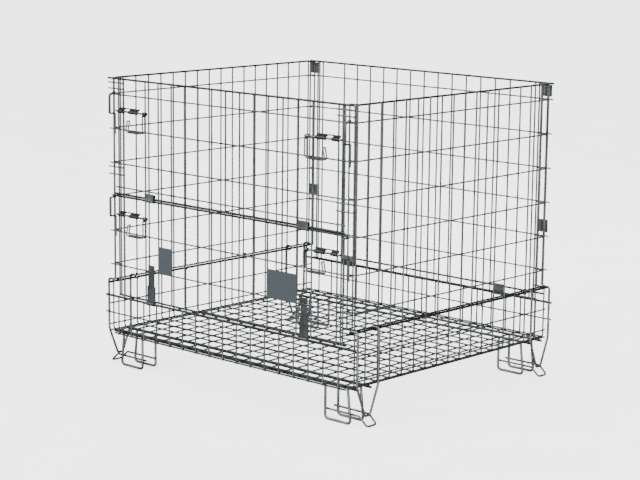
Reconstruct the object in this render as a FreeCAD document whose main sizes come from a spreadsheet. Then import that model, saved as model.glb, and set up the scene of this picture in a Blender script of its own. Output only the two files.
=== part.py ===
import FreeCAD, Part
import math
import os
import Sketcher
from FreeCAD import Placement, Rotation, Vector

# Folding wire mesh container: a welded tray on wire legs, two folding side panels,
# a back panel and a front closed by two gates, each gate held by two slide bolts.
# X runs along the long front, Y from front to back, Z up, and the floor is z = 0.

SIZES = {
    # wires: the radius of each gauge, and the depth to which two welded wires sink together
    "mesh_bar": 2.75, "line_bar": 2.5, "rim_bar": 4.0, "foot_rail_bar": 3.0, "runner_bar": 4.5,
    "panel_rim_bar": 3.5, "panel_rod_bar": 3.0, "upper_rod_bar": 3.8, "lower_rod_bar": 3.55,
    "foot_bar": 4.5, "vee_bar": 4.0, "toe_bar": 3.5, "hook_bar": 2.5, "hinge_bar": 2.0, "guide_bar": 2.25,
    "bolt_bar": 3.5, "weld_bite": 0.3,
    # grid of the mesh
    "grid_long": 64.0, "grid_short": 58.0, "grid_tall": 117.3,
    # tray
    "tray_floor": 125.0, "cross_half": 500.5, "side_bar_out": 561.0, "bend_radius": 8.0,
    "edge_cross_out": 545.0, "side_foot_half": 496.0,
    "front_rim_level": 249.5, "front_line_level": 190.5, "front_bar_out": 504.4,
    "front_bar_low": 117.0, "front_bar_top": 249.8, "rail_half": 583.0, "foot_rail_half": 540.0,
    "side_rim_level": 298.0, "side_bar_top": 300.0, "side_rim_half": 510.0,
    "side_line_half": 503.0, "side_line_low": 150.0, "side_line_high": 223.0,
    "runner_half": 566.0, "edge_row": 485.0,
    # legs
    "foot_outer": 471.0, "foot_pitch": 60.0, "foot_in": 429.0, "foot_out_top": 524.0,
    "foot_out_low": 536.0, "vee_out": 579.0, "vee_middle": 440.9, "vee_half": 49.4,
    "toe_level": 34.0, "toe_in": 420.0, "toe_bend": 567.0, "toe_slope": 42.0, "toe_reach": 41.0,
    # panels and gates
    "gate_bar_out": 493.0, "gate_edge": 518.0, "gate_second": 509.0, "gate_third": 492.0,
    "bar_top": 1003.5, "top_level": 1001.5, "top_line_level": 948.0, "gate_rim_half": 563.0,
    "gate_line_half": 557.0, "back_line_half": 561.0, "short_line_in": 489.0,
    "split_level": 601.5, "split_half": 545.0, "upper_rod_level": 609.5, "rod_out": 499.2, "lower_rod_half": 544.5,
    "upper_rod_half": 527.0, "low_rod_level": 255.4, "return_out": 484.75, "return_edge": 524.0,
    "panel_low": 304.5, "return_low": 310.5, "panel_rod_level": 306.0, "corner_bend": 8.0, "clip_middle": 355.5,
    "sheet_gauge": 2.0,
    # latches
    "bolt_out": 506.0, "upper_bolt_level": 894.0, "lower_bolt_level": 540.0,
    "bolt_in": 368.0, "bolt_end": 516.0, "handle_drop": 66.0, "handle_wire_out": 516.6,
    "staple_middle": 538.0, "staple_half": 2.9, "staple_out": 516.0,
    # the whole model moves back by this, so that its outline is centred on the frame
    "frame_shift": 4.55,
}
S = SIZES

doc = FreeCAD.newDocument("wire_mesh_container")
sheet = doc.addObject("Spreadsheet::Sheet", "sizes")
for row, (alias, value) in enumerate(SIZES.items(), start=1):
    sheet.set(f"A{row}", alias)
    sheet.set(f"B{row}", str(value))
    sheet.setAlias(f"B{row}", alias)
doc.recompute()

NODES = []


# --------------------------------------------------------------------------- helpers

def new_node(label):
    """One sub-part: a body that may hold several separate solids."""
    body = doc.addObject("PartDesign::Body", label)
    body.Label = label
    body.AllowCompound = True
    body.setExpression("Placement.Base.y", "sizes.frame_shift")
    NODES.append(body)
    return body


def origin_item(body, role):
    return [item for item in body.Origin.OriginFeatures if item.Role == role][0]


def new_sketch(body, name, role, offset):
    """A sketch on one of the body's origin planes, moved along the plane's normal."""
    sketch = body.newObject("Sketcher::SketchObject", name)
    sketch.AttachmentSupport = (origin_item(body, role), [""])
    sketch.MapMode = "FlatFace"
    if isinstance(offset, str):
        sketch.setExpression("AttachmentOffset.Base.z", offset)
    else:
        sketch.AttachmentOffset = Placement(Vector(0, 0, offset), Rotation())
    return sketch


def set_datum(sketch, kind, operands, value):
    index = sketch.addConstraint(Sketcher.Constraint(kind, *operands, 1.0))
    if isinstance(value, str):
        sketch.setExpression(f"Constraints[{index}]", value)
    else:
        sketch.setDatum(index, FreeCAD.Units.Quantity(value, FreeCAD.Units.Length))


def circles(sketch, centres, radius):
    for across, up in centres:
        geo = sketch.addGeometry(Part.Circle(Vector(1, 1, 0), Vector(0, 0, 1), 1), False)
        set_datum(sketch, "Radius", (geo,), f"sizes.{radius}")
        set_datum(sketch, "DistanceX", (-1, 1, geo, 3), across)
        set_datum(sketch, "DistanceY", (-1, 1, geo, 3), up)


def pad(body, sketch, length, both_ways=False, name="pad"):
    feature = body.newObject("PartDesign::Pad", name)
    feature.Profile = sketch
    if isinstance(length, str):
        feature.setExpression("Length", length)
    else:
        feature.Length = length
    if both_ways:
        feature.SideType = "Symmetric"
    body.Tip = feature
    sketch.Visibility = False
    return feature


def repeat(body, feature, role, length, count):
    """Repeat a feature along a body axis; length is from the first copy to the last."""
    pattern = body.newObject("PartDesign::LinearPattern", "repeat")
    pattern.Originals = [feature]
    pattern.Direction = (origin_item(body, role), [""])
    pattern.setExpression("Length", length)
    pattern.Occurrences = count
    body.Tip = pattern
    return pattern


def straight(body, role, centres, radius, length, offset=0.0, both_ways=False):
    """Straight round wires square to an origin plane, one for each centre."""
    sketch = new_sketch(body, "section", role, offset)
    circles(sketch, centres, radius)
    return pad(body, sketch, length, both_ways)


def rounded(points, radius):
    """Lines and arcs of a wire bent at each inner point, in plane coordinates."""
    pieces = []
    start = Vector(*points[0], 0)
    radii = radius if isinstance(radius, (list, tuple)) else [radius] * (len(points) - 2)
    for index in range(1, len(points) - 1):
        corner = Vector(*points[index], 0)
        after = Vector(*points[index + 1], 0)
        back = (Vector(*points[index - 1], 0) - corner).normalize()
        ahead = (after - corner).normalize()
        half_angle = back.getAngle(ahead) / 2
        bend = radii[index - 1]
        reach = bend / math.tan(half_angle)
        middle = corner + (back + ahead).normalize() * (bend / math.sin(half_angle))
        first = corner + back * reach
        last = corner + ahead * reach
        crown = middle + (corner - middle).normalize() * bend
        pieces.append(Part.LineSegment(start, first))
        pieces.append(Part.Arc(first, crown, last))
        start = last
    pieces.append(Part.LineSegment(start, Vector(*points[-1], 0)))
    return pieces


def bent(body, role, points, radius, bend, offset, section_role):
    """A round wire swept along a bent path that lies in one plane.

    The section's plane is square to the first stretch of the path.
    """
    spine = new_sketch(body, "path", role, offset)
    pieces = rounded(points, bend)
    for piece in pieces:
        spine.addGeometry(piece, False)
    spine.Visibility = False
    across, up = points[0]
    place = {
        ("XZ_Plane", "XY_Plane"): (across, -offset, up),
        ("XZ_Plane", "YZ_Plane"): (-offset, up, across),
        ("YZ_Plane", "XY_Plane"): (offset, across, up),
        ("XY_Plane", "YZ_Plane"): (up, offset, across),
    }[(role, section_role)]
    section = body.newObject("Sketcher::SketchObject", "section")
    section.AttachmentSupport = (origin_item(body, section_role), [""])
    section.MapMode = "FlatFace"
    section.AttachmentOffset = Placement(Vector(*place), Rotation())
    geo = section.addGeometry(Part.Circle(Vector(0, 0, 0), Vector(0, 0, 1), 1), False)
    set_datum(section, "Radius", (geo,), f"sizes.{radius}")
    section.addConstraint(Sketcher.Constraint("Coincident", geo, 3, -1, 1))
    section.Visibility = False
    pipe = body.newObject("PartDesign::AdditivePipe", "bent_wire")
    pipe.Profile = section
    pipe.Spine = (spine, [f"Edge{number + 1}" for number in range(len(pieces))])
    body.Tip = pipe
    return pipe


def bent_tilted(body, place, points, radius, bend):
    """A round wire bent in a tilted plane; its first stretch runs along the plane's own X."""
    spine = body.newObject("Sketcher::SketchObject", "path")
    spine.AttachmentSupport = (origin_item(body, "XY_Plane"), [""])
    spine.MapMode = "FlatFace"
    spine.AttachmentOffset = place
    pieces = rounded(points, bend)
    for piece in pieces:
        spine.addGeometry(piece, False)
    spine.Visibility = False
    section = body.newObject("Sketcher::SketchObject", "section")
    section.AttachmentSupport = (origin_item(body, "XY_Plane"), [""])
    section.MapMode = "FlatFace"
    section.AttachmentOffset = place * Placement(Vector(*points[0], 0), Rotation(Vector(0, 1, 0), 90))
    circles(section, [(0, 0)], radius)
    section.Visibility = False
    pipe = body.newObject("PartDesign::AdditivePipe", "bent_wire")
    pipe.Profile = section
    pipe.Spine = (spine, [f"Edge{number + 1}" for number in range(len(pieces))])
    body.Tip = pipe
    return pipe


def outline(body, role, points, length, offset, both_ways=True):
    """A flat-sided piece: a closed outline padded square to its plane."""
    sketch = new_sketch(body, "outline", role, offset)
    for start, end in zip(points, points[1:] + points[:1]):
        sketch.addGeometry(Part.LineSegment(Vector(*start, 0), Vector(*end, 0)), False)
    return pad(body, sketch, length, both_ways)


def sleeve(body, role, centre, inner, outer, length, offset):
    """A short tube around a rod, centred on the offset."""
    sketch = new_sketch(body, "ring", role, offset)
    for size in (inner, outer):
        sketch.addGeometry(Part.Circle(Vector(*centre, 0), Vector(0, 0, 1), size), False)
    return pad(body, sketch, length, True)


def x_wires(body, places, radius, half):
    """Wires along X, centred, at (y, z) places; half is an alias."""
    return straight(body, "YZ_Plane", places, radius, f"2 * sizes.{half}", 0.0, True)


# --------------------------------------------------------------------------- tray

def stand_off(first, second):
    """Distance between the centres of two crossing wires that are welded together."""
    return S[first] + S[second] - S["weld_bite"]


side_out = S["side_bar_out"]
rim_out = side_out - stand_off("mesh_bar", "rim_bar")
side_line_out = side_out - stand_off("mesh_bar", "line_bar")
rim_row = S["front_bar_out"] - stand_off("mesh_bar", "rim_bar")

cross = new_node("tray_cross_wires")
first = straight(cross, "XZ_Plane", [("-8 * sizes.grid_long", "sizes.tray_floor")], "mesh_bar",
                 "2 * sizes.cross_half", 0.0, True)
repeat(cross, first, "X_Axis", "16 * sizes.grid_long", 17)
edges = [("-sizes.edge_cross_out", "sizes.tray_floor"), ("sizes.edge_cross_out", "sizes.tray_floor")]
straight(cross, "XZ_Plane", edges, "mesh_bar", "2 * sizes.side_foot_half", 0.0, True)

# Each long wire of the floor is bent up at both ends, where it stands as part of the side.
long_level = S["tray_floor"] + 2 * S["mesh_bar"] - S["weld_bite"]
long_path = [(-side_out, S["side_bar_top"]), (-side_out, long_level),
             (side_out, long_level), (side_out, S["side_bar_top"])]
floor_wires = new_node("tray_bent_wires")
first_row = -7.5 * S["grid_short"]
first = bent(floor_wires, "XZ_Plane", long_path, "mesh_bar", S["bend_radius"], -first_row, "XY_Plane")
repeat(floor_wires, first, "Y_Axis", "15 * sizes.grid_short", 16)
for row in (-S["edge_row"], S["edge_row"]):
    bent(floor_wires, "XZ_Plane", long_path, "mesh_bar", S["bend_radius"], -row, "XY_Plane")

foot_rail_level = S["tray_floor"] - stand_off("mesh_bar", "foot_rail_bar")
for side, sign in (("front", -1), ("back", 1)):
    bars = new_node(f"{side}_upstand_bars")
    row = "-sizes.front_bar_out" if sign < 0 else "sizes.front_bar_out"
    first = straight(bars, "XY_Plane", [("-8 * sizes.grid_long", row)], "mesh_bar",
                     "sizes.front_bar_top - sizes.front_bar_low", "sizes.front_bar_low")
    repeat(bars, first, "X_Axis", "16 * sizes.grid_long", 17)

    rails = new_node(f"{side}_upstand_rails")
    line_row = S["front_bar_out"] - stand_off("mesh_bar", "line_bar")
    foot_row = S["front_bar_out"] - stand_off("mesh_bar", "foot_rail_bar")
    x_wires(rails, [(sign * rim_row, "sizes.front_rim_level")], "rim_bar", "rail_half")
    x_wires(rails, [(sign * line_row, "sizes.front_line_level")], "line_bar", "rail_half")
    x_wires(rails, [(sign * foot_row, foot_rail_level)], "foot_rail_bar", "foot_rail_half")

# The side's foot rail lies under the bends of the long wires, 60 degrees below the level.
foot_reach = S["bend_radius"] + stand_off("mesh_bar", "foot_rail_bar")
foot_out = side_out - S["bend_radius"] + foot_reach * math.cos(math.radians(60))
foot_level = long_level + S["bend_radius"] - foot_reach * math.sin(math.radians(60))
for side, sign in (("left", -1), ("right", 1)):
    rails = new_node(f"{side}_upstand_rails")
    straight(rails, "XZ_Plane", [(sign * rim_out, "sizes.side_rim_level")], "rim_bar",
             "2 * sizes.side_rim_half", 0.0, True)
    lines = [(sign * side_line_out, f"sizes.{level}") for level in ("side_line_low", "side_line_high")]
    straight(rails, "XZ_Plane", lines, "line_bar", "2 * sizes.side_line_half", 0.0, True)
    straight(rails, "XZ_Plane", [(sign * foot_out, foot_level)], "foot_rail_bar",
             "2 * sizes.side_foot_half", 0.0, True)

runner_level = S["tray_floor"] - stand_off("mesh_bar", "runner_bar")
runners = new_node("tray_runners")
runner_rows = [sign * (S["foot_outer"] - step * S["foot_pitch"]) for sign in (-1, 1) for step in (0, 1)]
x_wires(runners, [(row, runner_level) for row in runner_rows], "runner_bar", "runner_half")

# --------------------------------------------------------------------------- legs

foot_top = runner_level - S["runner_bar"] + S["weld_bite"] / 2
hook_reach = S["rim_bar"] + S["vee_bar"] - S["weld_bite"] / 2
vee_top = S["side_rim_level"] + hook_reach
vee_knee = 130.0
vee_point = 35.0

for end, y_sign in (("front", -1), ("back", 1)):
    for side, x_sign in (("left", -1), ("right", 1)):
        corner = f"{end}_{side}"

        loops = new_node(f"{corner}_foot_loops")
        foot_path = [(x_sign * S["foot_in"], foot_top), (x_sign * S["foot_in"], S["foot_bar"]),
                     (x_sign * S["foot_out_low"], S["foot_bar"]), (x_sign * S["foot_out_top"], foot_top)]
        for step in (0, 1):
            row = y_sign * (S["foot_outer"] - step * S["foot_pitch"])
            bent(loops, "XZ_Plane", foot_path, "foot_bar", 12.0, -row, "XY_Plane")

        # The vee hangs from the side rim by two hooks and narrows to a rounded point.
        vee = new_node(f"{corner}_leg_vee")
        middle = y_sign * S["vee_middle"]
        reach = S["vee_half"]
        neck = 0.23 * reach
        join = S["side_rim_level"] - 20
        vee_path = [(middle - reach, join), (middle - reach, vee_knee), (middle - neck, vee_point),
                    (middle + neck, vee_point), (middle + reach, vee_knee), (middle + reach, join)]
        vee_out = x_sign * S["vee_out"]
        bent(vee, "YZ_Plane", vee_path, "vee_bar", [40.0, 9.0, 9.0, 40.0], vee_out, "XY_Plane")
        hook_in = x_sign * (rim_out - hook_reach)
        hook_path = [(vee_out, join), (vee_out, vee_top), (hook_in, vee_top),
                     (hook_in, S["side_rim_level"] - 1)]
        for row in (middle - reach, middle + reach):
            bent(vee, "XZ_Plane", hook_path, "vee_bar", [10.0, hook_reach], -row, "XY_Plane")

        # The toe is a hairpin: two prongs on the foot loops, then a sloping closed end.
        toe = new_node(f"{corner}_toe_hairpin")
        prong_gap = stand_off("foot_bar", "toe_bar")
        rows = [y_sign * (S["foot_outer"] - prong_gap),
                y_sign * (S["foot_outer"] - S["foot_pitch"] + prong_gap)]
        slope = math.radians(S["toe_slope"])
        slope_start = 24.0
        knee = Vector(x_sign * S["toe_bend"], 0, S["toe_level"])
        along = Vector(x_sign * math.cos(slope), 0, -math.sin(slope))
        low = knee + along * slope_start
        toe_path = [(x_sign * S["toe_in"], S["toe_level"]), (knee.x, knee.z), (low.x, low.z)]
        for row in rows:
            bent(toe, "XZ_Plane", toe_path, "toe_bar", 18.0, -row, "YZ_Plane")
        turn = S["toe_slope"] if x_sign > 0 else 180 - S["toe_slope"]
        tilt = Placement(knee, Rotation(Vector(0, 1, 0), turn))
        end_path = [(slope_start - 1, rows[0]), (S["toe_reach"], rows[0]),
                    (S["toe_reach"], rows[1]), (slope_start - 1, rows[1])]
        bent_tilted(toe, tilt, end_path, "toe_bar", 10.0)

# --------------------------------------------------------------------------- side panels

return_row = S["return_out"] - stand_off("mesh_bar", "line_bar")
panel_tall = "sizes.bar_top - sizes.panel_low"
corner_reach = S["corner_bend"] + stand_off("mesh_bar", "line_bar")
corner_out = side_line_out - S["corner_bend"] + corner_reach * math.sqrt(0.5)
corner_row = return_row - S["corner_bend"] + corner_reach * math.sqrt(0.5)


def return_path(sign, bar):
    """Seen from above: along the panel, with both ends turned in towards the tray."""
    out = sign * (side_out - stand_off("mesh_bar", bar))
    row = S["return_out"] - stand_off("mesh_bar", bar)
    edge = sign * S["return_edge"]
    return [(edge, -row), (out, -row), (out, row), (edge, row)]


for side, sign in (("left", -1), ("right", 1)):
    mark = "-" if sign < 0 else ""
    bars = new_node(f"{side}_panel_bars")
    first = straight(bars, "XY_Plane", [(f"{mark}sizes.side_bar_out", "-7.5 * sizes.grid_short")],
                     "mesh_bar", panel_tall, "sizes.panel_low")
    repeat(bars, first, "Y_Axis", "15 * sizes.grid_short", 16)
    columns = [(corner_out, corner_row), (S["return_edge"] + 4, S["return_out"])]
    places = [(sign * column, end * row) for column, row in columns for end in (-1, 1)]
    straight(bars, "XY_Plane", places, "mesh_bar", panel_tall, "sizes.panel_low")
    # This pair starts higher, clear of the leg's hook.
    places = [(sign * (S["return_edge"] + 26), end * S["return_out"]) for end in (-1, 1)]
    straight(bars, "XY_Plane", places, "mesh_bar", "sizes.bar_top - sizes.return_low",
             "sizes.return_low")

    # All the level wires are alike: the lowest one is repeated up the panel.
    lines = new_node(f"{side}_panel_lines")
    low_line = S["top_line_level"] - 5 * S["grid_tall"]
    first = bent(lines, "XY_Plane", return_path(sign, "line_bar"), "line_bar", S["corner_bend"],
                 low_line, "YZ_Plane")
    repeat(lines, first, "Z_Axis", "5 * sizes.grid_tall", 6)

    # The lower rod is in three lengths, with a gap where each inner leg hooks over the tray's rim.
    rods = new_node(f"{side}_panel_rods")
    bent(rods, "XY_Plane", return_path(sign, "panel_rim_bar"), "panel_rim_bar", S["corner_bend"],
         S["top_level"], "YZ_Plane")
    hook_row = S["vee_middle"] - S["vee_half"]
    for end in (-1, 1):
        edge, turn, *_ = return_path(sign, "panel_rod_bar")
        short = [(edge[0], -end * edge[1]), (turn[0], -end * turn[1]), (turn[0], end * (hook_row + 8))]
        bent(rods, "XY_Plane", short, "panel_rod_bar", S["corner_bend"], S["panel_rod_level"], "YZ_Plane")
    rod_out = sign * (side_out - stand_off("mesh_bar", "panel_rod_bar"))
    straight(rods, "XZ_Plane", [(rod_out, "sizes.panel_rod_level")], "panel_rod_bar",
             2 * (hook_row - 8), 0.0, True)

    # Small hooks over the lower rod reach round the tray's side rim: they are the panel's hinges.
    hooks = new_node(f"{side}_panel_hinge_hooks")
    turn = S["rim_bar"] + S["hinge_bar"] + 0.5
    crest = S["panel_rod_level"] + S["panel_rod_bar"] + S["hinge_bar"] - 0.2
    hook_path = [(sign * (rim_out - 2), crest), (sign * (rim_out + turn), crest),
                 (sign * (rim_out + turn), S["side_rim_level"] - turn),
                 (sign * (rim_out - turn), S["side_rim_level"] - turn),
                 (sign * (rim_out - turn), S["side_rim_level"] + 1)]
    beside = S["mesh_bar"] + S["hinge_bar"] + 0.5
    for step in (-6.5, -2.5, 2.5, 6.5):
        row = step * S["grid_short"] + math.copysign(beside, step)
        bent(hooks, "XZ_Plane", hook_path, "hinge_bar", [3.5, 6.4, 6.4], -row, "YZ_Plane")

# --------------------------------------------------------------------------- gates and back panel

line_row = S["gate_bar_out"] + stand_off("mesh_bar", "line_bar")
top_rim_row = S["gate_bar_out"] + stand_off("mesh_bar", "panel_rim_bar")
inner_row = S["gate_bar_out"] - stand_off("mesh_bar", "panel_rim_bar")
levels = [S["top_line_level"] - step * S["grid_tall"] for step in range(6)]
bar_low = S["front_rim_level"] + S["rim_bar"] + 0.7
gauge = S["sheet_gauge"]


def mesh_bars(label, sign, low, high):
    """Upright bars of one gate or of the back panel, close together at its two edges."""
    bars = new_node(label)
    row = f"{'-' if sign < 0 else ''}sizes.gate_bar_out"
    first = straight(bars, "XY_Plane", [("-6 * sizes.grid_long", row)], "mesh_bar", high - low, low)
    repeat(bars, first, "X_Axis", "12 * sizes.grid_long", 13)
    columns = [f"{mark}sizes.{name}" for name in ("gate_third", "gate_second", "gate_edge")
               for mark in ("", "-")]
    straight(bars, "XY_Plane", [(column, row) for column in columns], "mesh_bar", high - low, low)


mesh_bars("upper_gate_bars", -1, S["split_level"] + 5.5, S["bar_top"])
mesh_bars("lower_gate_bars", -1, bar_low, S["split_level"] + 1)
mesh_bars("back_panel_bars", 1, bar_low, S["bar_top"])

upper_lines = new_node("upper_gate_lines")
x_wires(upper_lines, [(-line_row, level) for level in levels[:3]], "line_bar", "gate_line_half")
x_wires(upper_lines, [(-line_row, 632.5)], "line_bar", "upper_rod_half")
short_levels = [987.0, 967.0, 700.0, 675.0]
for start in (S["short_line_in"], -S["gate_rim_half"]):
    straight(upper_lines, "YZ_Plane", [(-line_row, level) for level in short_levels], "line_bar",
             "sizes.gate_rim_half - sizes.short_line_in", start)

lower_lines = new_node("lower_gate_lines")
x_wires(lower_lines, [(-line_row, level) for level in levels[4:]], "line_bar", "gate_line_half")

back_lines = new_node("back_panel_lines")
x_wires(back_lines, [(line_row, level) for level in levels], "line_bar", "back_line_half")

upper_rods = new_node("upper_gate_rods")
x_wires(upper_rods, [(-top_rim_row, "sizes.top_level")], "panel_rim_bar", "gate_rim_half")
x_wires(upper_rods, [("-sizes.rod_out", "sizes.upper_rod_level")], "upper_rod_bar", "upper_rod_half")

lower_rods = new_node("lower_gate_rods")
x_wires(lower_rods, [("-sizes.rod_out", "sizes.split_level")], "lower_rod_bar", "lower_rod_half")
x_wires(lower_rods, [(-inner_row, "sizes.low_rod_level")], "panel_rim_bar", "upper_rod_half")

back_rods = new_node("back_panel_rods")
x_wires(back_rods, [(top_rim_row, "sizes.top_level")], "panel_rim_bar", "gate_rim_half")
x_wires(back_rods, [(top_rim_row, 276.0)], "panel_rim_bar", "split_half")
x_wires(back_rods, [(inner_row, "sizes.low_rod_level")], "panel_rim_bar", "upper_rod_half")

# Folded channels of the upper gate: they hold its rod and turn round the lower gate's top rod.
clips = new_node("upper_gate_hinge_clips")
hold = S["upper_rod_bar"] - 0.05
axis = Vector(-S["rod_out"], S["split_level"], 0)
corners = [(-hold - gauge, 0), (-hold - gauge, 26), (-hold, 26), (-hold, 0)]
wall_front = [axis + Vector(*corner, 0) for corner in corners]
corners = [(hold, 0), (hold, 22), (hold + gauge, 22), (hold + gauge, 0)]
wall_back = [axis + Vector(*corner, 0) for corner in corners]
for sign in (-1, 1):
    sketch = new_sketch(clips, "channel", "YZ_Plane", sign * S["clip_middle"])
    for wall in (wall_front, wall_back):
        for start, end in zip(wall, wall[1:]):
            sketch.addGeometry(Part.LineSegment(start, end), False)
    for size in (hold, hold + gauge):
        ring = Part.Circle(axis, Vector(0, 0, 1), size)
        sketch.addGeometry(Part.ArcOfCircle(ring, math.pi, 2 * math.pi), False)
    pad(clips, sketch, 42.0, True)


def strap(body, sign, middle, steps):
    """A flat strap that ends in an eye around the tray's front or back rim."""
    near = sign * (line_row - S["line_bar"] + 0.1)
    far = near - sign * gauge
    for low, high, width in steps:
        outline(body, "YZ_Plane", [(near, low), (far, low), (far, high), (near, high)], width, middle)
    sleeve(body, "YZ_Plane", (sign * rim_row, S["front_rim_level"]), S["rim_bar"] + 0.4,
           S["rim_bar"] + 0.4 + gauge, steps[-1][2], middle)


eye_top = S["front_rim_level"] + 5.0
straps = new_node("lower_gate_hinge_straps")
back_clips = new_node("back_panel_hinge_clips")
for sign in (-1, 1):
    strap(straps, -1, sign * S["clip_middle"], [(300.0, 382.0, 30.0), (eye_top, 310.0, 40.0)])
    strap(back_clips, 1, sign * S["clip_middle"], [(eye_top, 284.0, 46.0)])

# Corner plates of the back panel, two at each upright edge.
corner_plates = new_node("back_panel_corner_plates")
near = S["gate_bar_out"] + S["mesh_bar"] - 0.05
for sign in (-1, 1):
    for low, high in ((957.0, 997.0), (492.0, 536.0)):
        outline(corner_plates, "YZ_Plane", [(near, low), (near + gauge, low), (near + gauge, high),
                                            (near, high)], 41.0, sign * 538.0)

# Blank plates for a label, on the outside of the lower gate.
label_plates = new_node("lower_gate_label_plates")
near = -(line_row + S["line_bar"] - 0.05)
for left_end, right_end in ((-310.0, -245.0), (200.0, 330.0)):
    outline(label_plates, "YZ_Plane", [(near, 360.5), (near - 1.7, 360.5), (near - 1.7, 453.0),
                                       (near, 453.0)], right_end - left_end, (left_end + right_end) / 2)

# --------------------------------------------------------------------------- latches

bolt_row = -S["bolt_out"]
guide_row = -(S["gate_bar_out"] + stand_off("mesh_bar", "guide_bar"))
guide_rise = 10.0
tail_row = -(line_row - S["line_bar"] - S["hook_bar"] + S["weld_bite"])

for gate, bolt_level in (("upper", S["upper_bolt_level"]), ("lower", S["lower_bolt_level"])):
    guides = new_node(f"{gate}_latch_guides")
    for sign in (-1, 1):
        inner, outer = (406.0, 504.0)
        start = inner if sign > 0 else -outer
        straight(guides, "YZ_Plane", [(guide_row, bolt_level + guide_rise)], "guide_bar",
                 outer - inner, start)
        for low_end, high_end in ((410.0, 450.0), (478.0, 504.0)):
            middle = sign * (low_end + high_end) / 2
            width = high_end - low_end
            sleeve(guides, "YZ_Plane", (bolt_row, bolt_level), S["bolt_bar"] + 0.5,
                   S["bolt_bar"] + 2.8, width, middle)
            web = [(bolt_row + 2.8, bolt_level + 5), (guide_row + 1.4, bolt_level + 5),
                   (guide_row + 1.4, bolt_level + guide_rise), (bolt_row + 2.8, bolt_level + guide_rise)]
            outline(guides, "YZ_Plane", web, width, middle)

    # A staple is a pair of bent wires that stand out from the gate's edge: the bolt slides through it.
    staples = new_node(f"{gate}_gate_staples")
    if gate == "upper":
        tail, sill = 812.0, 883.0
        crest = [(-S["staple_out"], 945.0), (tail_row, 955.5)]
    else:
        tail, sill = 460.0, 531.0
        under = S["split_level"] - S["lower_rod_bar"] - S["hook_bar"] + 0.15
        crest = [(-S["staple_out"], under), (tail_row, under)]
    staple_path = [(tail_row, tail), (tail_row, sill), (-S["staple_out"], sill)] + crest
    for sign in (-1, 1):
        for side in (-1, 1):
            column = sign * S["staple_middle"] + side * S["staple_half"]
            bent(staples, "YZ_Plane", staple_path, "hook_bar", 4.0, column, "XY_Plane")

    for side, sign in (("left", -1), ("right", 1)):
        bolt = new_node(f"{gate}_{side}_latch_bolt")
        start = S["bolt_in"] if sign > 0 else -S["bolt_end"]
        straight(bolt, "YZ_Plane", [(bolt_row, bolt_level)], "bolt_bar",
                 "sizes.bolt_end - sizes.bolt_in", start)

        # The handle is a cup on the bolt's inner end, with a double wire grip hanging below it.
        handle = new_node(f"{gate}_{side}_latch_handle")
        cup = S["bolt_bar"] + 2.8
        sleeve(handle, "YZ_Plane", (bolt_row, bolt_level), S["bolt_bar"] + 0.3, cup, 15.0, sign * 373.5)
        cap_start = 365.0 if sign > 0 else -367.8
        sketch = new_sketch(handle, "cap", "YZ_Plane", cap_start)
        sketch.addGeometry(Part.Circle(Vector(bolt_row, bolt_level, 0), Vector(0, 0, 1), cup), False)
        pad(handle, sketch, 2.8)
        grip_low = bolt_level - S["handle_drop"]
        grip_top = bolt_level - S["bolt_bar"] - 1
        grip_path = [(sign * 372.0, grip_top), (sign * 372.0, grip_low), (sign * 457.0, grip_low),
                     (sign * 448.0, grip_low + 38)]
        for row in (bolt_row, -S["handle_wire_out"]):
            bent(handle, "XZ_Plane", grip_path, "hook_bar", [12.0, 7.0], -row, "XY_Plane")
        length = S["handle_wire_out"] - S["bolt_out"]
        middle = (S["handle_wire_out"] + S["bolt_out"]) / 2
        ends = [(sign * 372.0, grip_top - 2.8), (sign * 448.2, grip_low + 37)]
        straight(handle, "XZ_Plane", ends, "hook_bar", length, middle, True)

# --------------------------------------------------------------------------- check and write

doc.recompute()
for item in doc.Objects:
    if {"Invalid", "Error"} & set(item.State):
        raise RuntimeError(f"{item.Name} did not build: {item.State}")

os.makedirs("parts", exist_ok=True)
for node in NODES:
    shape = node.Shape
    if shape.isNull() or not shape.isValid() or not shape.Solids:
        raise RuntimeError(f"{node.Label} has no valid solid")
    shape.exportStep(f"parts/{node.Label}.step")
    print(node.Label, len(shape.Solids), round(shape.Volume))
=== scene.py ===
# %% [markdown]
# # A folding wire mesh container
# The container is a welded wire tray on wire legs. Two side panels fold in, the back drops, and the
# front is closed by two gates with slide bolts. The CAD model already holds every wire at its real
# size, so this lesson keeps those meshes and works on what CAD leaves plain: the zinc plating, the
# weld at every crossing, the rounded cut ends, the pressed sheet parts and the light.

# %% Load the frame
import math

import bmesh
import bpy
from mathutils import Matrix, Vector


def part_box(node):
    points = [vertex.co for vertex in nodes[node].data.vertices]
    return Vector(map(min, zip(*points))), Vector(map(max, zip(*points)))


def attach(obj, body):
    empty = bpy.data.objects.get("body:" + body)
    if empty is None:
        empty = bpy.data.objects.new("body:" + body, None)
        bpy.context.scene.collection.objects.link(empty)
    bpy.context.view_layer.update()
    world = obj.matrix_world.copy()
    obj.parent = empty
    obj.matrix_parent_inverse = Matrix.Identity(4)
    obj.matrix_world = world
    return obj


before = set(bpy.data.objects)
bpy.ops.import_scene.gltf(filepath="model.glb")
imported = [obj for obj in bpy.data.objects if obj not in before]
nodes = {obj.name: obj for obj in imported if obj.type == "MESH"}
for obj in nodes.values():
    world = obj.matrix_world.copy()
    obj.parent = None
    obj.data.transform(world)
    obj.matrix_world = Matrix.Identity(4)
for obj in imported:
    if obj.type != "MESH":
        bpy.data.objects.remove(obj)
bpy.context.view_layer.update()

# %% [markdown]
# ## The sizes that the lesson repeats
# The mesh follows a few numbers: the pitch of the wires along each side, the levels of the long wires
# and how far out each layer lies. They are the real sizes in metres. The middle of the tray is read from
# the frame, so that everything below is placed from it.

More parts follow.
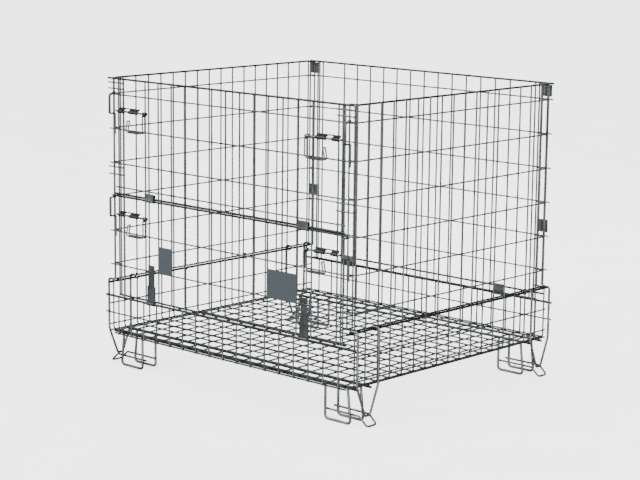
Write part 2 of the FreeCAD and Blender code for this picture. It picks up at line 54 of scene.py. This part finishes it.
# %% Sizes of the mesh
tray_low, tray_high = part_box("tray_cross_wires")
MIDDLE = (tray_low.y + tray_high.y) / 2
PITCH_LONG = 0.064
PITCH_SHORT = 0.058
PITCH_TALL = 0.1173
WIRE = 0.00275
LINE = 0.0025
SINK = 0.0003
SIDE_OUT = 0.561
UPSTAND_ROW = 0.5044
GATE_ROW = 0.493
RIM_ROW, LINE_ROW, TOP_RIM_ROW, ROD_ROW = 0.49795, 0.49945, 0.49895, 0.4992
TOP_LINE, TOP_RIM = 0.948, 1.0015
print("middle of the tray", round(MIDDLE, 5))

# %% [markdown]
# ## Camera
# A product view is taken from a little above eye level and from far away with a long lens, which keeps
# upright wires nearly parallel. The camera is turned by three angles, applied in order: a turn about the
# vertical, a tilt down, and a very small roll about the line of sight.

# %% Camera
LENS = 107.42
TURN, TILT, ROLL = math.radians(42.95), math.radians(10.482), math.radians(0.645)
STAND = Vector((4.365, -4.732 + MIDDLE, 1.645))
camera_data = bpy.data.cameras.new("product_camera")
camera_data.lens = LENS
camera_data.sensor_width = 36
camera_data.clip_end = 100
camera = bpy.data.objects.new("product_camera", camera_data)
bpy.context.scene.collection.objects.link(camera)
camera.matrix_world = (Matrix.Translation(STAND) @ Matrix.Rotation(TURN, 4, "Z")
                       @ Matrix.Rotation(math.pi / 2 - TILT, 4, "X") @ Matrix.Rotation(ROLL, 4, "Z"))
bpy.context.scene.camera = camera
print("camera at", [round(v, 3) for v in camera.location])

# %% [markdown]
# ## Floor and light
# Bright zinc shows whatever surrounds it, so the room matters as much as the metal. A round upright wire
# mirrors the whole room across its width: its middle shows the side where the viewer stands, and its
# edges show what is behind it. The room is therefore pale on the viewer's side and overhead, and dark
# behind, which draws the dark edges that make a wire look round. The floor is an evenly lit white sheet.
# It is kept out of the reflections, since it would wash every wire out to the same grey, and it is clear
# from below, so that the underside can be looked at too.

# %% Helpers for node materials
def new_material(name):
    """An empty node material, its Principled shader and a function that adds nodes to it."""
    material = bpy.data.materials.new(name)
    material.use_nodes = True
    tree = material.node_tree
    shader = next(n for n in tree.nodes if n.type == "BSDF_PRINCIPLED")

    def add(kind, **values):
        node = tree.nodes.new(kind)
        for key, value in values.items():
            if hasattr(node, key):
                setattr(node, key, value)
            else:
                node.inputs[key.replace("_", " ")].default_value = value
        return node

    return material, shader, add, tree.links.new


def set_ramp(ramp, stops):
    """Writes the stops of a colour ramp: position and colour of each."""
    elements = ramp.color_ramp.elements
    while len(elements) > len(stops):
        elements.remove(elements[-1])
    while len(elements) < len(stops):
        elements.new(0.5)
    for element, (position, colour) in zip(elements, stops):
        element.position = position
        element.color = (*colour, 1)


# %% Floor
floor_material, shader, add, link = new_material("studio_floor")
where = add("ShaderNodeTexCoord")
grain = add("ShaderNodeTexNoise", Scale=3.0, Detail=3.0)
tone = add("ShaderNodeValToRGB")
set_ramp(tone, [(0.3, (0.95, 0.95, 0.95)), (0.7, (1.0, 1.0, 1.0))])
link(where.outputs["Object"], grain.inputs["Vector"])
link(grain.outputs["Fac"], tone.inputs["Fac"])
link(tone.outputs["Color"], shader.inputs["Base Color"])
link(tone.outputs["Color"], shader.inputs["Emission Color"])
shader.inputs["Emission Strength"].default_value = 2.6
shader.inputs["Roughness"].default_value = 0.9
shader.inputs["Specular IOR Level"].default_value = 0.1
side = add("ShaderNodeNewGeometry")
clear = add("ShaderNodeBsdfTransparent")
either = add("ShaderNodeMixShader")
surface = next(n for n in floor_material.node_tree.nodes if n.type == "OUTPUT_MATERIAL")
link(side.outputs["Backfacing"], either.inputs["Fac"])
link(shader.outputs["BSDF"], either.inputs[1])
link(clear.outputs["BSDF"], either.inputs[2])
link(either.outputs["Shader"], surface.inputs["Surface"])

floor_mesh = bpy.data.meshes.new("studio_floor")
HALF_FLOOR = 40.0
floor_mesh.from_pydata([(-HALF_FLOOR, -HALF_FLOOR, -0.0005), (HALF_FLOOR, -HALF_FLOOR, -0.0005),
                        (HALF_FLOOR, HALF_FLOOR, -0.0005), (-HALF_FLOOR, HALF_FLOOR, -0.0005)],
                       [], [(0, 1, 2, 3)])
floor_mesh.materials.append(floor_material)
floor = bpy.data.objects.new("studio_floor", floor_mesh)
bpy.context.scene.collection.objects.link(floor)
floor.visible_glossy = False
floor.visible_diffuse = False

# %% Light
world = bpy.data.worlds.new("studio_room")
world.use_nodes = True
room = world.node_tree
background = next(n for n in room.nodes if n.type == "BACKGROUND")
direction = room.nodes.new("ShaderNodeTexCoord")
facing = room.nodes.new("ShaderNodeVectorMath")
facing.operation = "DOT_PRODUCT"
facing.inputs[1].default_value = (0.35, -0.75, 0.55)
stretch = room.nodes.new("ShaderNodeMapRange")
stretch.inputs["From Min"].default_value = -1.0
walls = room.nodes.new("ShaderNodeValToRGB")
set_ramp(walls, [(0.0, (0.7, 0.7, 0.7)), (0.16, (0.06, 0.06, 0.06)), (0.42, (0.06, 0.06, 0.06)),
                 (0.56, (0.6, 0.6, 0.6)), (0.66, (0.14, 0.14, 0.14)), (0.8, (1.2, 1.2, 1.2))])
room.links.new(direction.outputs["Generated"], facing.inputs[0])
room.links.new(facing.outputs["Value"], stretch.inputs["Value"])
room.links.new(stretch.outputs["Result"], walls.inputs["Fac"])
room.links.new(walls.outputs["Color"], background.inputs["Color"])
background.inputs["Strength"].default_value = 1.6
bpy.context.scene.world = world


def soft_panel(name, place, aim, size, power):
    data = bpy.data.lights.new(name, "AREA")
    data.shape = "SQUARE"
    data.size = size
    data.energy = power
    lamp = bpy.data.objects.new(name, data)
    bpy.context.scene.collection.objects.link(lamp)
    lamp.location = place
    lamp.rotation_euler = (Vector(aim) - Vector(place)).to_track_quat("-Z", "Y").to_euler()
    return lamp


soft_panel("high_left_panel", (-2.5, -2.8, 3.6), (0, 0, 0.4), 2.2, 60)
soft_panel("right_panel", (3.6, 0.6, 2.6), (0, 0, 0.4), 1.8, 40)
soft_panel("back_panel_light", (-0.5, 3.4, 3.0), (0, 0, 0.4), 2.2, 40)

# %% [markdown]
# ## Zinc plating
# Electroplated zinc is a cool grey metal. It is never even: along a wire the brightness drifts, drawing
# lines run lengthwise, and the plating is duller beside the welds. A noise texture in object coordinates
# drives the colour and the roughness, and a finer one gives a slight bump. The same recipe makes a
# version for each group of parts, though all of them carry the same plating: plain on the mesh wires,
# darker on the heavy rims and rods as painted shade, brighter on the legs and latches as painted
# highlight, and pale on the pressed clips and plates.

# %% Zinc materials
def zinc(name, dark, light, rough_low, rough_high, scale):
    material, shader, add, link = new_material(name)
    where = add("ShaderNodeTexCoord")
    drift = add("ShaderNodeTexNoise", Scale=scale, Detail=4.0, Roughness=0.6)
    fleck = add("ShaderNodeTexVoronoi", Scale=scale * 22)
    blend = add("ShaderNodeMix", data_type="FLOAT", Factor=0.25)
    tone = add("ShaderNodeValToRGB")
    rough = add("ShaderNodeMapRange")
    pits = add("ShaderNodeTexNoise", Scale=scale * 60, Detail=3.0)
    bump = add("ShaderNodeBump", Strength=0.25, Distance=0.0006)
    set_ramp(tone, [(0.32, dark), (0.5, tuple((a + b) / 2 for a, b in zip(dark, light))), (0.68, light)])
    link(where.outputs["Object"], drift.inputs["Vector"])
    link(where.outputs["Object"], fleck.inputs["Vector"])
    link(where.outputs["Object"], pits.inputs["Vector"])
    link(drift.outputs["Fac"], blend.inputs[2])
    link(fleck.outputs["Distance"], blend.inputs[3])
    link(blend.outputs[0], tone.inputs["Fac"])
    link(tone.outputs["Color"], shader.inputs["Base Color"])
    rough.inputs["To Min"].default_value = rough_low
    rough.inputs["To Max"].default_value = rough_high
    link(drift.outputs["Fac"], rough.inputs["Value"])
    link(rough.outputs["Result"], shader.inputs["Roughness"])
    link(pits.outputs["Fac"], bump.inputs["Height"])
    link(bump.outputs["Normal"], shader.inputs["Normal"])
    shader.inputs["Metallic"].default_value = 0.9
    return material


zinc_wire = zinc("zinc_wire", (0.045, 0.052, 0.055), (0.22, 0.24, 0.245), 0.2, 0.4, 9.0)
# Painted shade: the rims, rods, runners and guides get a darker copy of the same zinc.
zinc_rail_painted_shade = zinc("zinc_rail_painted_shade", (0.022, 0.027, 0.03), (0.09, 0.102, 0.107), 0.28, 0.5, 7.0)
# Painted highlight: legs, handles and bolts get a brighter copy of the same zinc.
zinc_leg_painted_highlight = zinc("zinc_leg_painted_highlight", (0.06, 0.068, 0.07), (0.34, 0.365, 0.37), 0.14, 0.3, 12.0)
zinc_sheet = zinc("zinc_sheet", (0.035, 0.042, 0.046), (0.16, 0.18, 0.185), 0.3, 0.55, 26.0)
zinc_clip = zinc("zinc_clip", (0.08, 0.09, 0.095), (0.3, 0.325, 0.33), 0.25, 0.45, 30.0)
zinc_weld = zinc("zinc_weld", (0.05, 0.055, 0.06), (0.15, 0.165, 0.17), 0.35, 0.6, 30.0)
zinc_cut_end = zinc("zinc_cut_end", (0.2, 0.22, 0.225), (0.45, 0.48, 0.485), 0.25, 0.45, 40.0)

# %% [markdown]
# The blank label plates are the one painted finish: a dark slate enamel, even from afar, with a fine
# orange peel and faint rubbed streaks close up. Stretching a noise along the plate gives the streaks.

# %% Slate enamel
slate, shader, add, link = new_material("slate_enamel")
where = add("ShaderNodeTexCoord")
along = add("ShaderNodeMapping")
along.inputs["Scale"].default_value = (6.0, 6.0, 90.0)
streak = add("ShaderNodeTexNoise", Scale=1.0, Detail=5.0, Roughness=0.65)
tone = add("ShaderNodeValToRGB")
peel = add("ShaderNodeTexNoise", Scale=900.0, Detail=2.0)
bump = add("ShaderNodeBump", Strength=0.2, Distance=0.0003)
set_ramp(tone, [(0.3, (0.058, 0.073, 0.081)), (0.7, (0.068, 0.084, 0.093))])
link(where.outputs["Object"], along.inputs["Vector"])
link(where.outputs["Object"], peel.inputs["Vector"])
link(along.outputs["Vector"], streak.inputs["Vector"])
link(streak.outputs["Fac"], tone.inputs["Fac"])
link(tone.outputs["Color"], shader.inputs["Base Color"])
link(peel.outputs["Fac"], bump.inputs["Height"])
link(bump.outputs["Normal"], shader.inputs["Normal"])
shader.inputs["Roughness"].default_value = 0.42
print("enamel for the label plates")


# %% Finish of every node
def dress(name, material):
    mesh = nodes[name].data
    mesh.materials.clear()
    mesh.materials.append(material)


# Rails, rods, runners and guides take the painted-shade copy of the zinc; legs, handles and bolts take
# the painted-highlight copy.
GROUPS = (("label_plates", slate), ("handle", zinc_leg_painted_highlight), ("bolt", zinc_leg_painted_highlight), ("leg_vee", zinc_leg_painted_highlight),
          ("foot_loops", zinc_leg_painted_highlight), ("toe_hairpin", zinc_leg_painted_highlight), ("rails", zinc_rail_painted_shade), ("rods", zinc_rail_painted_shade),
          ("runners", zinc_rail_painted_shade), ("clips", zinc_clip), ("corner_plates", zinc_clip),
          ("straps", zinc_sheet), ("guides", zinc_rail_painted_shade))
for name in nodes:
    dress(name, next((material for word, material in GROUPS if word in name), zinc_wire))
print("finish on", len(nodes), "nodes")

# %% [markdown]
# ## Weld beads
# The wires are resistance welded: at each crossing the two wires are pressed together hot, and a small
# squashed bead of darker metal is left round the contact. There are over a thousand of them, all alike
# apart from small changes of size and turn, so Geometry Nodes set one small faceted ball on each point of
# a cloud. The cloud is only vertices, one at each contact, worked out from the pitch of the mesh.

# %% Node tree that sets a small ball on every point
def ball_tree(label):
    tree = bpy.data.node_groups.new(label, "GeometryNodeTree")
    face = tree.interface
    face.new_socket("Geometry", in_out="INPUT", socket_type="NodeSocketGeometry")
    for title, kind, value in (("Radius", "NodeSocketFloat", 0.003), ("Uneven", "NodeSocketFloat", 0.1),
                               ("Flat", "NodeSocketFloat", 1.0), ("Seed", "NodeSocketInt", 7),
                               ("Finish", "NodeSocketMaterial", None)):
        socket = face.new_socket(title, in_out="INPUT", socket_type=kind)
        if value is not None:
            socket.default_value = value
    face.new_socket("Geometry", in_out="OUTPUT", socket_type="NodeSocketGeometry")
    new, link = tree.nodes.new, tree.links.new
    group_in, group_out = new("NodeGroupInput"), new("NodeGroupOutput")
    ball = new("GeometryNodeMeshIcoSphere")
    ball.inputs["Subdivisions"].default_value = 2
    squash = new("ShaderNodeCombineXYZ")
    squash.inputs["X"].default_value = 1.0
    squash.inputs["Y"].default_value = 1.0
    shape = new("GeometryNodeTransform")
    low, high = new("ShaderNodeMath"), new("ShaderNodeMath")
    low.operation, high.operation = "SUBTRACT", "ADD"
    low.inputs[0].default_value = high.inputs[0].default_value = 1.0
    size, turn = new("FunctionNodeRandomValue"), new("FunctionNodeRandomValue")
    turn.data_type = "FLOAT_VECTOR"
    turn.inputs["Max"].default_value = (0.3, 0.3, 6.28)
    place = new("GeometryNodeInstanceOnPoints")
    realize, finish = new("GeometryNodeRealizeInstances"), new("GeometryNodeSetMaterial")
    link(group_in.outputs["Radius"], ball.inputs["Radius"])
    link(group_in.outputs["Flat"], squash.inputs["Z"])
    link(ball.outputs["Mesh"], shape.inputs["Geometry"])
    link(squash.outputs["Vector"], shape.inputs["Scale"])
    for limit in (low, high):
        link(group_in.outputs["Uneven"], limit.inputs[1])
    link(low.outputs[0], size.inputs[2])
    link(high.outputs[0], size.inputs[3])
    for draw in (size, turn):
        link(group_in.outputs["Seed"], draw.inputs["Seed"])
    link(group_in.outputs["Geometry"], place.inputs["Points"])
    link(shape.outputs["Geometry"], place.inputs["Instance"])
    link(turn.outputs["Value"], place.inputs["Rotation"])
    link(size.outputs[1], place.inputs["Scale"])
    link(place.outputs["Instances"], realize.inputs["Geometry"])
    link(realize.outputs["Geometry"], finish.inputs["Geometry"])
    link(group_in.outputs["Finish"], finish.inputs["Material"])
    link(finish.outputs["Geometry"], group_out.inputs["Geometry"])
    return tree


balls = ball_tree("ball_on_every_point")


def set_balls(name, body, points, material, radius, uneven, flat, seed):
    """Runs the tree on a cloud of points and leaves a plain mesh that rides on the body."""
    cloud = bpy.data.meshes.new(name + "_cloud")
    cloud.from_pydata(points, [], [])
    carrier = bpy.data.objects.new(name + "_cloud", cloud)
    bpy.context.scene.collection.objects.link(carrier)
    modifier = carrier.modifiers.new("balls", "NODES")
    modifier.node_group = balls
    values = {"Radius": radius, "Uneven": uneven, "Flat": flat, "Seed": seed, "Finish": material}
    for item in balls.interface.items_tree:
        if item.in_out == "INPUT" and item.name in values:
            modifier[item.identifier] = values[item.name]
    graph = bpy.context.evaluated_depsgraph_get()
    mesh = bpy.data.meshes.new_from_object(carrier.evaluated_get(graph))
    carrier.modifiers.remove(modifier)
    bpy.data.objects.remove(carrier)
    mesh.name = name
    mesh.shade_smooth()
    piece = bpy.data.objects.new(name, mesh)
    bpy.context.scene.collection.objects.link(piece)
    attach(piece, body)
    print(name, len(points), "points", len(mesh.polygons), "faces")
    return piece


# %% [markdown]
# ### Where the crossings are
# Each wall of the container is a grid in one plane: upright wires at some columns and level wires at
# some heights. The contact lies between the two layers, a wire's radius in from the middle of the
# uprights. One helper lists a wall that runs along the front, the other a wall that runs along the side.

# %% Crossings of each wall
def front_wall(row, columns, levels):
    return [(x, MIDDLE + row, z) for x in columns for z in levels]


def side_wall(out, rows, levels):
    return [(out, MIDDLE + y, z) for y in rows for z in levels]


long_columns = [k * PITCH_LONG for k in range(-8, 9)]
gate_columns = long_columns[2:-2] + [s * x for x in (0.492, 0.509, 0.518) for s in (-1, 1)]
short_rows = [(k - 7.5) * PITCH_SHORT for k in range(16)]
tray_rows = [-0.485] + short_rows + [0.485]
wall_levels = [TOP_LINE - k * PITCH_TALL for k in range(6)]
CONTACT = WIRE - SINK / 2

beads = {"tray": [(x, MIDDLE + y, tray_high.z - WIRE + CONTACT) for x in [-0.545] + long_columns + [0.545]
                  for y in tray_rows]}
for side in (-1, 1):
    beads["tray"] += front_wall(side * (UPSTAND_ROW - CONTACT), long_columns, [0.1196, 0.1905, 0.2477])
    beads["tray"] += side_wall(side * (SIDE_OUT - CONTACT), tray_rows, [0.150, 0.223, 0.298])
for body, side in (("left_panel", -1), ("right_panel", 1)):
    beads[body] = side_wall(side * (SIDE_OUT - CONTACT), short_rows, [0.306] + wall_levels + [TOP_RIM])
beads["back_panel"] = front_wall(GATE_ROW + CONTACT, gate_columns, [0.276] + wall_levels + [TOP_RIM])
beads["upper_gate"] = front_wall(-GATE_ROW - CONTACT, gate_columns,
                                 [0.6325] + wall_levels[:3] + [TOP_RIM])
beads["lower_gate"] = front_wall(-GATE_ROW - CONTACT, gate_columns, wall_levels[4:])
for number, (body, points) in enumerate(beads.items()):
    set_balls(body + "_weld_beads", body, points, zinc_weld, 0.0034, 0.12, 0.85, 11 + number)

# %% [markdown]
# ## Cut ends
# A wire cropped in a press and then plated has a slightly domed end rather than a sharp edge. A ball of
# the wire's own radius set on the end gives that dome, and the same node tree can do it for every gauge.

# %% Domed wire ends
def ends(half, row, levels):
    return [(s * half, MIDDLE + row, z) for s in (-1, 1) for z in levels]


def ends_both_rows(half, row, levels):
    return ends(half, -row, levels) + ends(half, row, levels)


# A ball a little smaller than the wire, so that only the dome beyond the end shows.
DOME = 0.98
for name, body, radius, points in (
        ("front_back_rim_ends", "tray", 0.004, ends_both_rows(0.583, RIM_ROW, [0.2495])),
        ("front_back_line_ends", "tray", LINE, ends_both_rows(0.583, LINE_ROW, [0.1905])),
        ("upper_gate_line_ends", "upper_gate", LINE, ends(0.557, -RIM_ROW, wall_levels[:3])),
        ("lower_gate_line_ends", "lower_gate", LINE, ends(0.557, -RIM_ROW, wall_levels[4:])),
        ("back_panel_line_ends", "back_panel", LINE, ends(0.561, RIM_ROW, wall_levels)),
        ("upper_gate_rim_ends", "upper_gate", 0.0035, ends(0.563, -TOP_RIM_ROW, [TOP_RIM])),
        ("back_panel_rim_ends", "back_panel", 0.0035, ends(0.563, TOP_RIM_ROW, [TOP_RIM])),
        ("lower_gate_rod_ends", "lower_gate", 0.00355, ends(0.5445, -ROD_ROW, [0.6015])),
        ("upper_gate_rod_ends", "upper_gate", 0.0038, ends(0.527, -ROD_ROW, [0.6095]))):
    set_balls(name, body, points, zinc_cut_end, radius * DOME, 0.0, 1.0, 3)
runner_rows = [s * y for s in (-1, 1) for y in (0.471, 0.411)]
set_balls("runner_ends", "tray", [p for y in runner_rows for p in ends(0.566, y, [0.11805])],
          zinc_cut_end, 0.0045 * DOME, 0.0, 1.0, 3)

# %% [markdown]
# ## Rivets and pins
# The hinge channels of the upper gate are riveted, and a pin goes through each corner plate of the back
# panel. They repeat in small groups, so the same node tree sets them: half of each ball is sunk in the
# sheet, and what stands out is the head.

# %% Rivet heads
rivets = [(s * 0.3555 + dx, MIDDLE - 0.503, 0.621) for s in (-1, 1) for dx in (-0.012, 0.012)]
set_balls("hinge_channel_rivets", "upper_gate", rivets, zinc_weld, 0.0045, 0.04, 1.0, 5)
pins = [(s * 0.538, MIDDLE + 0.4967, z) for s in (-1, 1) for z in (0.977, 0.514)]
set_balls("corner_plate_pins", "back_panel", pins, zinc_weld, 0.0055, 0.04, 1.0, 6)

# %% [markdown]
# ## Dark sleeves on the handles, painted shade
# A dark ribbed sleeve sits on the two lower wires of each handle as painted shade: it darkens the band
# where the two wires lie close together in shadow. Each sleeve is a turned shape, so rings of points are
# laid along the wire, the ribs come from a small change of radius, and the ends close down onto the wire.

# %% Dark sleeve finish
# Painted shade: a near-black finish for the sleeves that darken the lower wires of each handle.
painted_shade_finish = zinc("painted_shade_sleeves_finish", (0.02, 0.022, 0.024), (0.055, 0.06, 0.063), 0.4, 0.6, 45.0)
painted_shade_finish.node_tree.nodes["Principled BSDF"].inputs["Metallic"].default_value = 0.2

# %% Ribbed sleeves on the handles
SHADE_SLEEVE_START, SHADE_SLEEVE_END, SHADE_SLEEVE_RADIUS, SIDES = 0.389, 0.447, 0.0037, 16
HANDLE_DROP = 0.066


def ribbed_sleeve(mesh, sign, row, level):
    steps = 27
    rings = []
    for step in range(steps + 1):
        share = step / steps
        x = sign * (SHADE_SLEEVE_START + (SHADE_SLEEVE_END - SHADE_SLEEVE_START) * share)
        edge = min(step, steps - step)
        radius = (0.0023, 0.0031, 0.0036)[edge] if edge < 3 else SHADE_SLEEVE_RADIUS - 0.0003 * (step % 2)
        turns = [2 * math.pi * k / SIDES for k in range(SIDES)]
        rings.append([mesh.verts.new((x, row + radius * math.cos(a), level + radius * math.sin(a)))
                      for a in turns])
    for one, two in zip(rings, rings[1:]):
        for k in range(SIDES):
            mesh.faces.new((one[k], one[(k + 1) % SIDES], two[(k + 1) % SIDES], two[k]))
    mesh.faces.new(rings[0])
    mesh.faces.new(rings[-1])


for gate, bolt_level in (("upper", 0.894), ("lower", 0.540)):
    for side, sign in (("left", -1), ("right", 1)):
        turned = bmesh.new()
        for row in (-0.506, -0.5166):
            ribbed_sleeve(turned, sign, MIDDLE + row, bolt_level - HANDLE_DROP)
        bmesh.ops.recalc_face_normals(turned, faces=turned.faces)
        mesh = bpy.data.meshes.new(f"{gate}_{side}_shade_sleeves")
        turned.to_mesh(mesh)
        turned.free()
        mesh.materials.append(painted_shade_finish)
        mesh.shade_smooth()
        sleeve_piece = bpy.data.objects.new(mesh.name, mesh)
        bpy.context.scene.collection.objects.link(sleeve_piece)
        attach(sleeve_piece, f"{gate}_{side}_handle")
        print(mesh.name, len(mesh.polygons), "faces")
